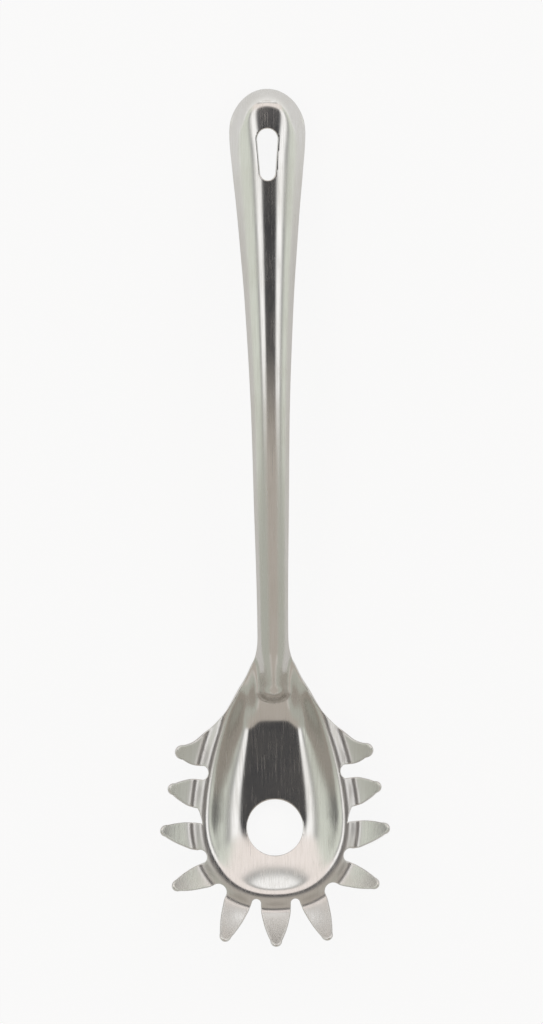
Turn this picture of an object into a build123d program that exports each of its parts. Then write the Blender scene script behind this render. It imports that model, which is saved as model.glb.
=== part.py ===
"""Pasta server pressed from one sheet of polished stainless steel.

The server is worked out flat on its bowl, in its own pose: +Y runs from the tip of the head to the end of the
handle, +X is to the right when the open bowl faces the eye, and z = 0 is the underside of the bowl's floor.
A height formula gives the upper face of the sheet, and the lower face is the same surface one sheet lower.
The sheet is then cut into plainly named zones and laid down as it rests on a table.
"""
from build123d import *
import math
import os

# Sheet and overall length, in millimetres
sheet = 1.2
tip_y = -165.0
tail_y = 165.0

# Handle: a bowed arch that is open underneath, widest near its round end
widest_half = 14.8
widest_y = 147.7
neck_half = 6.1
neck_y = -42.7
taper_place_shares = (0.0, 0.27, 0.46, 0.66, 0.76, 0.85, 0.92, 1.0)
taper_width_shares = (0.0, 0.10, 0.19, 0.40, 0.56, 0.72, 0.87, 1.0)
arch_depth_share = 0.66
bow_radius = 480.0
neck_slope = 0.30
neck_slope_y = -50.0
end_roll = 6.5
end_roll_fade = 6.0

# Hanging slot near the end of the handle: wide and round towards the end, narrower towards the neck
slot_outer_y = 149.4
slot_inner_y = 129.5
slot_outer_radius = 4.2
slot_inner_radius = 3.2

# Rib that carries the handle's arch into the head and ends in a round nose
rib_half = 5.9
rib_height = arch_depth_share * neck_half
nose_y = -71.8
rib_fillet = 1.4

# Bowl: an egg with its wide end at the tip, a flat floor and a rolled rim
rim_half = 26.9
rim_y = -115.8
rim_to_tip_end = 29.6
rim_to_neck_end = 60.0
rim_tip_power = 2.3
rim_neck_power = 1.65
rim_height = 13.5
rim_roll = 6.0
floor_half = 7.5
floor_narrowing = 2.5
floor_narrowing_length = 40.0
floor_below_centre = 3.0
floor_ground = 0.05
ramp_y = -79.0
wall_dish_share = 0.5
ramp_ease_share = 0.26
neck_rise = 4.5

# Ring outside the rim: down into a valley, then up along the tines
valley_out = 5.0
valley_radius = 6.0
valley_degrees = 62.0
tine_bend_radius = 10.0
tine_degrees = 55.0
shoulder_fade_y = -84.0
shoulder_fade_length = 18.0
crease_y = -58.0
crease_length = 14.0
crease_drop = 5.0

# Portion hole through the bowl
hole_radius = 10.75
hole_y = -119.2

# Tines on the right, from the tip round to the shoulder: places are degrees round the rim, -90 at the tip
tine_reach = rim_y - rim_to_tip_end - tip_y
tine_root_out = 2.9
tine_root_half = 5.3
tine_tip_radius = 2.0
tine_taper_power = 1.6
tine_root_degrees = (-90.0, -65.2, -36.3, -9.9, 12.6)
tine_tip_degrees = (-90.0, -66.5, -32.0, -3.9, 13.4)
tine_reach_shares = (1.0, 1.077, 0.964, 0.893, 0.786)
tine_root_out_shares = (1.07, 1.25, 1.4, 0.86, 0.9)
tine_root_half_shares = (1.09, 0.98, 0.9, 0.98, 1.06)

# Round-bottomed notches between the tines, in the same order
notch_out = 2.0
notch_degrees = (-76.9, -50.5, -25.6, 2.0, 22.1)
notch_out_shares = (1.0, 1.4, 1.0, 0.85, 0.5)

# Shoulders: the first pair of tines and the edge that runs up to the neck, as shares of its length and width
shoulder_tip_radius = 2.2
shoulder_tip_degrees = 26.3
shoulder_reach_share = 0.64
shoulder_root_degrees = 23.8
shoulder_root_out = 3.4
shoulder_lower_bulge = 0.9
shoulder_place_shares = (0.19, 0.387, 0.629, 0.808, 0.951)
shoulder_width_shares = (0.017, 0.121, 0.327, 0.549, 0.798)

# Cuts between the named zones of the sheet
neck_cut_y = -74.5
tine_cut_margin = 0.3
cut_reach_share = 1.6
overrun = 60.0

# How finely the surfaces follow the height formula
head_columns = 69
head_steps = 90
handle_columns = 25
handle_steps = 54
handle_end_steps = 16
edge_samples = 12
rest_samples = 180
halvings = 40
head_beyond = 3.0
handle_beyond = 1.5


def smooth(t):
    """Rise from 0 to 1 with level ends."""
    t = min(max(t, 0.0), 1.0)
    return t * t * (3.0 - 2.0 * t)


def higher(a, b, blend):
    """The higher of two heights, rounded where they meet."""
    h = min(max(0.5 + 0.5 * (a - b) / blend, 0.0), 1.0)
    return b + (a - b) * h + blend * h * (1.0 - h)


def along_table(v, places, values):
    """Smooth curve through a short table, level at both ends."""
    last = len(places) - 1
    slopes = [0.0] * (last + 1)
    for i in range(1, last):
        slopes[i] = (values[i + 1] - values[i - 1]) / (places[i + 1] - places[i - 1])
    i = 0
    while i < last - 1 and v > places[i + 1]:
        i += 1
    span = places[i + 1] - places[i]
    t = min(max((v - places[i]) / span, 0.0), 1.0)
    rise = smooth(t)
    start = t * (1.0 - t) ** 2 * span * slopes[i]
    end = t * t * (1.0 - t) * span * slopes[i + 1]
    return values[i] + (values[i + 1] - values[i]) * rise + start - end


def bend(run, radius, degrees):
    """Height gained along a level start, an arc up to an angle, then a straight slope."""
    turn = math.radians(degrees)
    arc_run = radius * math.sin(turn)
    on_arc = min(max(run, 0.0), arc_run)
    straight = max(run - arc_run, 0.0)
    return radius - math.sqrt(radius * radius - on_arc * on_arc) + straight * math.tan(turn)


def handle_half(y):
    """Half width of the handle from the neck to its widest place."""
    place = (y - neck_y) / (widest_y - neck_y)
    return neck_half + (widest_half - neck_half) * along_table(place, taper_place_shares, taper_width_shares)


def crest_height(y):
    """Height of the handle's middle line: a straight neck slope bowed over by one large arc."""
    run = y - neck_slope_y
    level = rim_height + neck_rise + rib_height
    if run < 0.0:
        return sheet + ramp_height(y) + rib_height
    return level + neck_slope * run - run * run / (2.0 * bow_radius)


def ramp_height(y):
    """Rise of the bowl's floor towards the neck."""
    run = min(max((y - ramp_y) / (neck_slope_y - ramp_y), 0.0), 1.0)
    ease = ramp_ease_share * run * run + (1.0 - ramp_ease_share) * smooth(run)
    return (rim_height + neck_rise - sheet) * ease


def rim_level(y):
    """Height of the ring that the bowl is pressed down from."""
    run = min(max((y - ramp_y) / (neck_slope_y - ramp_y), 0.0), 1.0)
    return rim_height + 2.0 * neck_rise * (run ** 3 - run ** 4 / 2.0)


def wall_and_distance(x, y):
    """Place up the bowl's wall, 0 at the floor and 1 at the rim, and distance outside the rim."""
    side = abs(x)
    along = y - rim_y
    if along > 0.0:
        v = min(along / rim_to_neck_end, 0.999)
        inner = 1.0 - v ** rim_neck_power
        rim = rim_half * inner ** (1.0 / rim_neck_power)
        floor = floor_half - floor_narrowing * smooth(along / floor_narrowing_length)
        lean = rim_half * inner ** (1.0 / rim_neck_power - 1.0) * v ** (rim_neck_power - 1.0) / rim_to_neck_end
        run = higher(rim - floor, rib_half, rib_fillet)
        return (side - floor) / run, (side - rim) / math.sqrt(1.0 + lean * lean)
    reach = max(math.hypot(side, along), sheet / 1000.0)
    c = side / reach
    s = -along / reach
    rim = ((c / rim_half) ** rim_tip_power + (s / rim_to_tip_end) ** rim_tip_power) ** (-1.0 / rim_tip_power)
    floor = 1.0 / math.hypot(c / floor_half, s / floor_below_centre)
    return (reach - floor) / (rim - floor), reach - rim


def head_height(x, y):
    """Upper face of the head without the rib."""
    place, out = wall_and_distance(x, y)
    level = rim_level(y)
    t = min(max(place, 0.0), 2.0)
    side = (level - sheet) * (wall_dish_share * t ** 2 + (1.0 - wall_dish_share) * t ** 5)
    wall = sheet + math.hypot(ramp_height(y), side)
    fade = 1.0 - smooth((y - shoulder_fade_y) / shoulder_fade_length)
    drop = bend(valley_out, valley_radius, valley_degrees)
    if out < valley_out:
        ring = level + (bend(valley_out - out, valley_radius, valley_degrees) - drop) * fade
    else:
        ring = level + (bend(out - valley_out, tine_bend_radius, tine_degrees) - drop) * fade
    return -higher(-wall, -ring, rim_roll)


def arch_height(x, y):
    """Upper face of the handle's arch and of the rib that it runs out in."""
    if y > neck_y:
        half = handle_half(y)
        depth = arch_depth_share * half
    else:
        half = rib_half + (neck_half - rib_half) * smooth((y - crease_y) / (neck_y - crease_y))
        depth = rib_height
    nose_centre = nose_y + rib_half
    if y < nose_centre:
        across = math.hypot(x, nose_centre - y) / half
        return crest_height(nose_centre) - depth * across * across
    across = x / half
    if y <= widest_y:
        return crest_height(y) - depth * across * across
    end_length = tail_y - widest_y
    beyond = (y - widest_y) / end_length
    edge = math.hypot(across, beyond)
    roll_start = 1.0 - end_roll / end_length
    roll = max(edge - roll_start, 0.0) / (1.0 - roll_start)
    turned = (1.0 - across * across) * roll * roll * smooth((y - widest_y) / end_roll_fade)
    return crest_height(y) - depth * (across * across + turned)


def head_face(x, y):
    """Upper face of the head with the rib standing on it."""
    foot = head_height(x, y) - crease_drop * smooth((y - crease_y) / crease_length)
    return higher(arch_height(x, y), foot, rib_fillet)


def slopes_at(height, x, y):
    """Slopes of a height formula across and along the server."""
    step = sheet / 100.0
    across = (height(x + step, y) - height(x - step, y)) / (2.0 * step)
    along = (height(x, y + step) - height(x, y - step)) / (2.0 * step)
    return across, along


def underside(height, x, y):
    """Height of the lower face, one sheet from the upper face measured square to it."""
    across, along = slopes_at(height, x, y)
    return height(x, y) - sheet * math.sqrt(1.0 + across * across + along * along)


def section(height, half, y, columns):
    """Closed outline of the sheet where a plane cuts straight across the server."""
    shares = [column / (columns - 1) for column in range(columns)]
    places = [half * (2.0 * share - 1.0) for share in shares]
    top = [Vector(x, y, height(x, y)) for x in places]
    bottom = [Vector(x, y, underside(height, x, y)) for x in places]
    return Wire([
        Edge.make_spline(top, parameters=shares),
        Edge.make_line(top[-1], bottom[-1]),
        Edge.make_spline(bottom[::-1], parameters=shares),
        Edge.make_line(bottom[0], top[0]),
    ])


def evenly(low, high, steps):
    """Evenly spaced places from one end to the other."""
    return [low + (high - low) * k / steps for k in range(steps + 1)]


def bent_sheet(height, half_at, places, columns):
    """Sheet that follows a height formula, lofted straight from each section to the next."""
    return Solid.make_loft([section(height, half_at(y), y, columns) for y in places], ruled=True)


def rim_point(degrees, out):
    """Point at a place round the right half of the rim and a distance outside it."""
    c = math.cos(math.radians(degrees))
    s = math.sin(math.radians(degrees))
    power = rim_neck_power if s > 0.0 else rim_tip_power
    length = rim_to_neck_end if s > 0.0 else rim_to_tip_end
    across = max(c, 0.0) ** (2.0 / power)
    along = abs(s) ** (2.0 / power)
    lean_x = across ** (power - 1.0) / rim_half
    lean_y = math.copysign(along ** (power - 1.0) / length, s)
    size = math.hypot(lean_x, lean_y)
    return Vector(
        rim_half * across + out * lean_x / size,
        rim_y + math.copysign(length * along, s) + out * lean_y / size,
    )


def tine_corners(i):
    """Root corners, middle points of both sides, ends of the rounded tip and the tip itself."""
    root = rim_point(tine_root_degrees[i], tine_root_out * tine_root_out_shares[i])
    tip = rim_point(tine_tip_degrees[i], tine_reach * tine_reach_shares[i])
    axis = (tip - root).normalized()
    side = Vector(-axis.Y, axis.X)
    tip_centre = tip - axis * tine_tip_radius
    root_half = tine_root_half * tine_root_half_shares[i]
    middle_half = root_half - (root_half - tine_tip_radius) * 0.5 ** tine_taper_power
    middle = (root + tip_centre) * 0.5
    near = (root - side * root_half, middle - side * middle_half, tip_centre - side * tine_tip_radius)
    far = (tip_centre + side * tine_tip_radius, middle + side * middle_half, root + side * root_half)
    return near, tip, far


def shoulder_edges(notch_start, notch_middle):
    """The last notch, the shoulder tine and its edge up to the neck."""
    root = rim_point(shoulder_root_degrees, shoulder_root_out)
    centre = rim_point(shoulder_tip_degrees, tine_reach * shoulder_reach_share)
    upper = centre + Vector(0.0, shoulder_tip_radius)
    lower = centre + Vector(0.0, -shoulder_tip_radius)
    tip = centre + Vector(shoulder_tip_radius, 0.0)
    middle = (root + lower) * 0.5 + Vector(0.0, -shoulder_lower_bulge)
    neck = Vector(neck_half, neck_y)
    points = [neck]
    for place, width in zip(shoulder_place_shares, shoulder_width_shares):
        points.append(Vector(neck.X + (upper.X - neck.X) * width, neck.Y + (upper.Y - neck.Y) * place))
    points.append(upper)
    return [
        Edge.make_three_point_arc(notch_start, notch_middle, root),
        Edge.make_three_point_arc(root, middle, lower),
        Edge.make_three_point_arc(lower, tip, upper),
        Edge.make_spline(points, tangents=[Vector(0.0, -1.0), Vector(1.0, 0.0)]),
    ]


def outline():
    """Flat outline of the whole sheet: the right half, then its mirror image."""
    edges = []
    count = len(tine_root_degrees)
    for i in range(count):
        near, tip, far = tine_corners(i)
        if i == 0:
            diagonal = Vector(1.0, -1.0).normalized()
            bow = tip + Vector(0.0, tine_tip_radius) + diagonal * tine_tip_radius
            edges.append(Edge.make_three_point_arc(tip, bow, far[0]))
        else:
            edges.append(Edge.make_three_point_arc(near[0], near[1], near[2]))
            edges.append(Edge.make_three_point_arc(near[2], tip, far[0]))
        edges.append(Edge.make_three_point_arc(far[0], far[1], far[2]))
        notch = rim_point(notch_degrees[i], notch_out * notch_out_shares[i])
        if i + 1 < count:
            next_near = tine_corners(i + 1)[0]
            edges.append(Edge.make_three_point_arc(far[2], notch, next_near[0]))
        else:
            edges.extend(shoulder_edges(far[2], notch))
    sides = []
    for k in range(edge_samples + 1):
        y = neck_y + (widest_y - neck_y) * k / edge_samples
        sides.append(Vector(handle_half(y), y))
    edges.append(Edge.make_spline(sides, tangents=[Vector(0.0, 1.0), Vector(0.0, 1.0)]))
    end_plane = Plane(origin=(0.0, widest_y, 0.0))
    edges.append(Edge.make_ellipse(widest_half, tail_y - widest_y, end_plane, 0.0, 90.0))
    mirrored = [edge.mirror(Plane.YZ) for edge in edges]
    return Face(Wire(edges + mirrored))


def openings():
    """Flat shapes of the hanging slot and the portion hole."""
    with BuildSketch() as sketch:
        with Locations((0.0, slot_outer_y - slot_outer_radius)):
            Circle(slot_outer_radius)
        with Locations((0.0, slot_inner_y + slot_inner_radius)):
            Circle(slot_inner_radius)
        make_hull()
        with Locations((0.0, hole_y)):
            Circle(hole_radius)
    return sketch.sketch


def egg_zone():
    """Flat shape that parts the bowl from the tines, just outside the notches."""
    out = notch_out * max(notch_out_shares) + tine_cut_margin
    points = [rim_point(-90.0 + 180.0 * k / (2 * edge_samples), out) for k in range(2 * edge_samples)]
    points.append(Vector(0.0, rim_y + rim_to_neck_end + out))
    left = [Vector(-p.X, p.Y) for p in points[-2:0:-1]]
    return Face(Wire([Edge.make_spline(points + left, periodic=True)]))


def tine_cut(i):
    """Cut between two tines: from the bottom of a notch out past the middle of the gap."""
    next_tip = tine_tip_degrees[i + 1] if i + 1 < len(tine_tip_degrees) else shoulder_tip_degrees
    notch = rim_point(notch_degrees[i], notch_out * notch_out_shares[i])
    outer = rim_point((tine_tip_degrees[i] + next_tip) / 2.0, tine_reach * cut_reach_share)
    return [notch, outer]


def wedge(start, end):
    """Flat sector about the bowl's middle between two cuts."""
    return Face(Wire.make_polygon([Vector(0.0, rim_y)] + start + end[::-1], close=True))


def strip(y_low, y_high):
    """Flat band right across the server between two places along it."""
    plane = Plane(origin=(0.0, (y_low + y_high) / 2.0, 0.0))
    return Face.make_rect(2.0 * overrun, y_high - y_low, plane)


def tall(face):
    """Flat shape made into a tall block that passes through the whole sheet."""
    return Solid.extrude(face.moved(Location((0.0, 0.0, -overrun))), Vector(0.0, 0.0, 2.0 * overrun))


def handle_reach(y):
    """Half width of the handle's surface, a little beyond its edge."""
    return handle_half(min(y, widest_y)) + handle_beyond


def head_reach(y):
    """Half width of the head's surface, a little beyond the tines."""
    return rim_half + tine_reach * max(tine_reach_shares) + head_beyond


def flat_server():
    """Tall block of the whole flat outline with its openings."""
    block = tall(outline())
    for face in openings().faces():
        block -= tall(face)
    return block


def ground_away():
    """Thin block under the bowl, up to the level that its floor is ground flat to."""
    plane = Plane(origin=(0.0, rim_y, floor_ground))
    return Solid.extrude(Face.make_rect(2.0 * overrun, 2.0 * overrun, plane), Vector(0.0, 0.0, -overrun))


def server_zones():
    """The sheet as named zones that meet face to face, each with its left twin where it has one."""
    flat = flat_server()
    head_places = evenly(tip_y - head_beyond, neck_y + head_beyond, head_steps)
    head_sheet = bent_sheet(head_face, head_reach, head_places, head_columns)
    head = flat & tall(strip(2.0 * tip_y, neck_y)) & head_sheet
    handle_places = evenly(neck_y - handle_beyond, widest_y, handle_steps)
    handle_places += evenly(widest_y, tail_y + handle_beyond, handle_end_steps)[1:]
    handle_sheet = bent_sheet(arch_height, handle_reach, handle_places, handle_columns)
    zones = {}
    zones["handle"] = flat & tall(strip(neck_y, 2.0 * tail_y)) & handle_sheet
    zones["neck"] = head & tall(strip(neck_cut_y, neck_y + overrun))
    front = head & tall(strip(2.0 * tip_y, neck_cut_y))
    egg = tall(egg_zone())
    zones["bowl"] = (front & egg) - ground_away()
    ring = front - egg
    cuts = [tine_cut(i) for i in range(len(notch_degrees))]
    mirrored = [Vector(-point.X, point.Y) for point in cuts[0]]
    zones["tine_tip"] = ring & tall(wedge(mirrored, cuts[0]))
    for i in range(1, len(cuts)):
        right = ring & tall(wedge(cuts[i - 1], cuts[i]))
        zones[f"tine_right_{i}"] = right
        zones[f"tine_left_{i}"] = right.mirror(Plane.YZ)
    right = ring & tall(wedge(cuts[-1], [Vector(0.0, neck_y), Vector(cuts[-1][-1].X, neck_y)]))
    zones["shoulder_right"] = right
    zones["shoulder_left"] = right.mirror(Plane.YZ)
    return {name: zone.solid() for name, zone in zones.items()}


def bowl_lowest(slope):
    """Least height of the bowl's underside over a table that rises towards the handle."""
    least = overrun
    for k in range(rest_samples + 1):
        y = rim_y - rim_to_tip_end + (neck_slope_y - rim_y + rim_to_tip_end) * k / rest_samples
        least = min(least, max(underside(head_face, 0.0, y), floor_ground) - slope * y)
    return least


def handle_lowest(slope):
    """Least height of the handle's round end over the same table."""
    least = overrun
    for k in range(rest_samples + 1):
        turn = math.radians(90.0 * k / rest_samples)
        x = widest_half * math.cos(turn)
        y = widest_y + (tail_y - widest_y) * math.sin(turn)
        least = min(least, underside(arch_height, x, y) - slope * y)
    return least


def resting_slope():
    """Slope of the table that the bowl and the end of the handle both touch, found by halving."""
    low = 0.0
    high = 1.0
    for _ in range(halvings):
        slope = (low + high) / 2.0
        if handle_lowest(slope) > bowl_lowest(slope):
            low = slope
        else:
            high = slope
    return (low + high) / 2.0


def laid_down(zones):
    """Tip the server back until it rests on z = 0, and bring the middle of its outline over the origin."""
    pitch = math.degrees(math.atan(resting_slope()))
    turned = {name: zone.rotate(Axis.X, -pitch) for name, zone in zones.items()}
    box = Compound(list(turned.values())).bounding_box()
    shift = Location((0.0, -(box.min.Y + box.max.Y) / 2.0, -box.min.Z))
    print("tipped back", round(pitch, 4), "degrees, moved", shift.position, "size", box.size)
    return {name: zone.moved(shift) for name, zone in turned.items()}


def main():
    os.makedirs("parts", exist_ok=True)
    for name, zone in laid_down(server_zones()).items():
        export_step(zone, f"parts/{name}.step")
        print(name, round(zone.volume, 1))


if __name__ == "__main__":
    main()
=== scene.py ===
# %% [markdown]
# # Pasta server in one pressed sheet
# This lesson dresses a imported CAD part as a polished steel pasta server. The real object is one sheet of
# stainless steel: a flat blank is stamped out with all its tines, its portion hole and its hanging slot,
# the stamped edges are tumbled smooth, and a press then bends the blank into a bowl, a rib and a bowed
# handle. The mesh is made in that same order, because a flat blank is easy to cut and a formula is easy to
# press with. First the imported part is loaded. It is the frame that the new mesh has to fit, and its box is
# noted here.

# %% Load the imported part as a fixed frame
import math

import bmesh
import bpy
from mathutils import Matrix, Vector


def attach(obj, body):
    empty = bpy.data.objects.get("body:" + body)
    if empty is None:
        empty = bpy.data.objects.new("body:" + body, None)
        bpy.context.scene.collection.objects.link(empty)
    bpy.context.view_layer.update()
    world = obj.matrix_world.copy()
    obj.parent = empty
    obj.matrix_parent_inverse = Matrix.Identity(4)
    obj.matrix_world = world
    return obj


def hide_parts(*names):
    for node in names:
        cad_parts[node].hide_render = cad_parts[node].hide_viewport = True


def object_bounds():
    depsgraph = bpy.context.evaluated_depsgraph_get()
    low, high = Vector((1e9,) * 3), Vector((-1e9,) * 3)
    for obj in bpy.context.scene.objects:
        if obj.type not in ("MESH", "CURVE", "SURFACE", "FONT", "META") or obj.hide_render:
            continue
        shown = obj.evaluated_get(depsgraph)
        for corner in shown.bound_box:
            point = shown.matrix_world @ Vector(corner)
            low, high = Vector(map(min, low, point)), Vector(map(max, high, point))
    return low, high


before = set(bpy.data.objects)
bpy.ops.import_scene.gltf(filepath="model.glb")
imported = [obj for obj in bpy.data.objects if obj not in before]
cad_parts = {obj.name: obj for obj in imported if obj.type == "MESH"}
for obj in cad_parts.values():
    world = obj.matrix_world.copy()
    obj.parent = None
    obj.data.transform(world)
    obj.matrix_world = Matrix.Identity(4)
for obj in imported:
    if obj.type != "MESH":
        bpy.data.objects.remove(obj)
cad_low, cad_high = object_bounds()

print("frame nodes", len(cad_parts), "box", cad_low, cad_high)

# %% [markdown]
# ## Sizes of the whole sheet
# The server is worked out lying flat on its bowl, in its own pose. +Y runs from the tip of the head to the
# end of the handle, and z = 0 is the underside of the bowl's floor. Everything is in metres. Blender could
# also be set to millimetres, but the frame is in metres, so a small unit named MM keeps the sizes readable
# instead.

# %% Sizes of the whole sheet
MM = 0.001
SHEET = 1.2 * MM
TIP_Y = -165.0 * MM
TAIL_Y = 165.0 * MM
WIDEST_HALF = 14.8 * MM
WIDEST_Y = 147.7 * MM
NECK_HALF = 6.1 * MM
NECK_Y = -42.7 * MM
print("sheet", (TAIL_Y - TIP_Y) / MM, "mm long, neck", 2.0 * NECK_HALF / MM, "mm wide")

# %% [markdown]
# ## Eased steps and tables
# Pressed steel has no sudden steps, so widths and heights change gently. `smooth` rises from 0 to 1 with
# level ends, and `along_table` draws a smooth curve through a few measured values. Both work on whole
# arrays of places at once. A loop over single points would do the same, but it would be slow for the many
# points of the press.

# %% Easing helpers
import numpy as np


def smooth(t):
    """Rise from 0 to 1, level at both ends."""
    t = np.clip(t, 0.0, 1.0)
    return t * t * (3.0 - 2.0 * t)


def along_table(v, places, values):
    """Smooth curve through a short table, level at both ends."""
    places = np.array(places)
    values = np.array(values)
    slopes = np.zeros(len(places))
    slopes[1:-1] = (values[2:] - values[:-2]) / (places[2:] - places[:-2])
    i = np.clip(np.searchsorted(places, v) - 1, 0, len(places) - 2)
    span = places[i + 1] - places[i]
    t = np.clip((v - places[i]) / span, 0.0, 1.0)
    start = t * (1.0 - t) ** 2 * span * slopes[i]
    end = t * t * (1.0 - t) * span * slopes[i + 1]
    return values[i] + (values[i + 1] - values[i]) * smooth(t) + start - end


print("a quarter of the way through an eased step", smooth(0.25))

# %% Width of the handle
TAPER_PLACES = (0.0, 0.27, 0.46, 0.66, 0.76, 0.85, 0.92, 1.0)
TAPER_WIDTHS = (0.0, 0.10, 0.19, 0.40, 0.56, 0.72, 0.87, 1.0)


def handle_half(y):
    """Half the width of the handle, from the neck to its widest place."""
    place = (y - NECK_Y) / (WIDEST_Y - NECK_Y)
    return NECK_HALF + (WIDEST_HALF - NECK_HALF) * along_table(place, TAPER_PLACES, TAPER_WIDTHS)


print("handle half width half way", handle_half((NECK_Y + WIDEST_Y) / 2))

# %% [markdown]
# ## Rim of the bowl
# The bowl is egg-shaped: blunt towards the tip and long towards the neck. Two half ovals that share their
# width give that shape, and a power under or over 2 makes each of them leaner or fuller. The tines and the
# notches are then placed by an angle round this rim and a distance outside it, as a toolmaker lays out a
# ring of teeth.

# %% Points round the rim
RIM_HALF = 26.9 * MM
RIM_Y = -115.8 * MM
RIM_TO_TIP_END = 29.6 * MM
RIM_TO_NECK_END = 60.0 * MM
RIM_TIP_POWER = 2.3
RIM_NECK_POWER = 1.65


def rim_point(degrees, out):
    """Point at a place round the right half of the rim and a distance outside it."""
    c = math.cos(math.radians(degrees))
    s = math.sin(math.radians(degrees))
    power = RIM_NECK_POWER if s > 0.0 else RIM_TIP_POWER
    length = RIM_TO_NECK_END if s > 0.0 else RIM_TO_TIP_END
    across = max(c, 0.0) ** (2.0 / power)
    along = abs(s) ** (2.0 / power)
    lean_along = math.copysign(along ** (power - 1.0) / length, s)
    lean = Vector((across ** (power - 1.0) / RIM_HALF, lean_along, 0.0))
    place = Vector((RIM_HALF * across, RIM_Y + math.copysign(length * along, s), 0.0))
    return place + lean.normalized() * out


print("rim beside the neck", rim_point(60.0, 0.0))

# %% [markdown]
# ## Edges of the outline
# A die stamps the flat outline out of sheet steel. Here the right half of it is drawn edge by edge. A
# vertex is spun round the centre of each arc, so every tip and every notch is a true arc. Points typed by
# hand would give flats that show in the polish. Half an outline is enough, because the server is the same
# on both sides.

# %% Arcs and straight edges
EDGE_STEP = 0.45 * MM
LEAST_STEPS = 3


def arc_to(bm, last, through, end):
    """Spin the last vertex along the arc through two more points, and return the new last vertex."""
    a, b, c = last.co.copy(), through, end
    ab, ac = b - a, c - a
    cross = 2.0 * (ab.x * ac.y - ab.y * ac.x)
    centre = a + Vector((
        (ac.y * ab.length_squared - ab.y * ac.length_squared) / cross,
        (ab.x * ac.length_squared - ac.x * ab.length_squared) / cross,
        0.0,
    ))
    angle = (a - centre).xy.angle_signed((c - centre).xy)
    turn = -angle % math.tau if cross > 0.0 else -angle % math.tau - math.tau
    steps = max(LEAST_STEPS, round(abs(turn) * (a - centre).length / EDGE_STEP))
    spun = bmesh.ops.spin(
        bm, geom=[last], cent=centre, axis=(0.0, 0.0, 1.0), angle=turn, steps=steps, use_duplicate=False
    )
    return [v for v in spun["geom_last"] if isinstance(v, bmesh.types.BMVert)][0]


def line_to(bm, last, points):
    """Straight edges through more points."""
    for point in points:
        vert = bm.verts.new(point)
        bm.edges.new((last, vert))
        last = vert
    return last


blank = bmesh.new()
first = blank.verts.new((0.0, TIP_Y, 0.0))
print("the outline starts at", first.co)

# %% [markdown]
# ## Tines
# The tines catch the pasta. Each is wide at its root, tapers along a slightly hollow or full side, and ends
# in a round tip. On the real server they were all cut at once. Here each is worked out from its root and
# its tip on the ring, so its two sides stay alike however far round the ring it stands. The first tine, at
# the head's tip, lies on the middle line.

# %% Sides of a tine
TINE_REACH = RIM_Y - RIM_TO_TIP_END - TIP_Y
TINE_ROOT_OUT = 2.9 * MM
TINE_ROOT_HALF = 5.3 * MM
TINE_TIP_R = 2.3 * MM
TINE_TAPER_POWER = 2.1
TINE_ROOT_DEGREES = (-90.0, -65.2, -36.3, -9.9, 12.6)
TINE_TIP_DEGREES = (-90.0, -66.5, -32.0, -3.9, 13.4)
TINE_REACHES = (1.0, 1.077, 0.964, 0.893, 0.786)
TINE_ROOTS_OUT = (1.07, 1.25, 1.4, 0.86, 0.9)
TINE_ROOT_WIDTHS = (1.09, 0.98, 0.9, 0.98, 1.06)


def tine_sides(i):
    """Points of one tine: near root, near middle, near tip, tip, far tip, far middle and far root."""
    root = rim_point(TINE_ROOT_DEGREES[i], TINE_ROOT_OUT * TINE_ROOTS_OUT[i])
    tip = rim_point(TINE_TIP_DEGREES[i], TINE_REACH * TINE_REACHES[i])
    axis = (tip - root).normalized()
    side = Vector((-axis.y, axis.x, 0.0))
    centre = tip - axis * TINE_TIP_R
    root_half = TINE_ROOT_HALF * TINE_ROOT_WIDTHS[i]
    middle_half = root_half - (root_half - TINE_TIP_R) * 0.5 ** TINE_TAPER_POWER
    middle = (root + centre) * 0.5
    near = [root - side * root_half, middle - side * middle_half, centre - side * TINE_TIP_R]
    far = [centre + side * TINE_TIP_R, middle + side * middle_half, root + side * root_half]
    return near + [tip] + far


print("first side tine", tine_sides(1)[3])

# %% [markdown]
# ## Notches between the tines
# Water drains between the tines, so the stamped edge runs deep in between them, round a small notch near
# the rim. A sharp inner corner would crack in the press, and a fillet added afterwards could fail where two
# tines stand close. So each notch is one arc from the root of one tine through its deepest point to the
# root of the next.

# %% The head's edge, tine by tine
NOTCH_OUT = 2.0 * MM
NOTCH_DEGREES = (-76.9, -50.5, -25.6, 2.0, 22.1)
NOTCHES_OUT = (1.0, 1.4, 1.0, 0.85, 0.5)
SHOULDER_ROOT_DEGREES = 23.8
SHOULDER_ROOT_OUT = 3.4 * MM


def head_edge(bm, last):
    """From the tip of the head round the right-hand tines to the root of the shoulder."""
    count = len(TINE_ROOT_DEGREES)
    for i in range(count):
        near_root, near_middle, near_tip, tip, far_tip, far_middle, far_root = tine_sides(i)
        if i == 0:
            corner = tip + Vector((0.0, TINE_TIP_R, 0.0)) + Vector((1.0, -1.0, 0.0)).normalized() * TINE_TIP_R
            last = arc_to(bm, last, corner, far_tip)
        else:
            last = arc_to(bm, last, near_middle, near_tip)
            last = arc_to(bm, last, tip, far_tip)
        last = arc_to(bm, last, far_middle, far_root)
        notch = rim_point(NOTCH_DEGREES[i], NOTCH_OUT * NOTCHES_OUT[i])
        if i + 1 < count:
            last = arc_to(bm, last, notch, tine_sides(i + 1)[0])
        else:
            root = rim_point(SHOULDER_ROOT_DEGREES, SHOULDER_ROOT_OUT)
            last = arc_to(bm, last, notch, root)
    return last


last = head_edge(blank, first)
print("edge of the head", len(blank.verts), "points, up to", last.co)

# %% [markdown]
# ## Shoulder
# Beside the neck stands a shorter tine with a long curved back, which strengthens the place where the head
# would bend first. Its back is measured at seven places and drawn as smooth cubic curves between them. One
# single arc would miss the hollow near the neck, and one curve for the whole back couldn't follow its
# change of bend.

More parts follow.
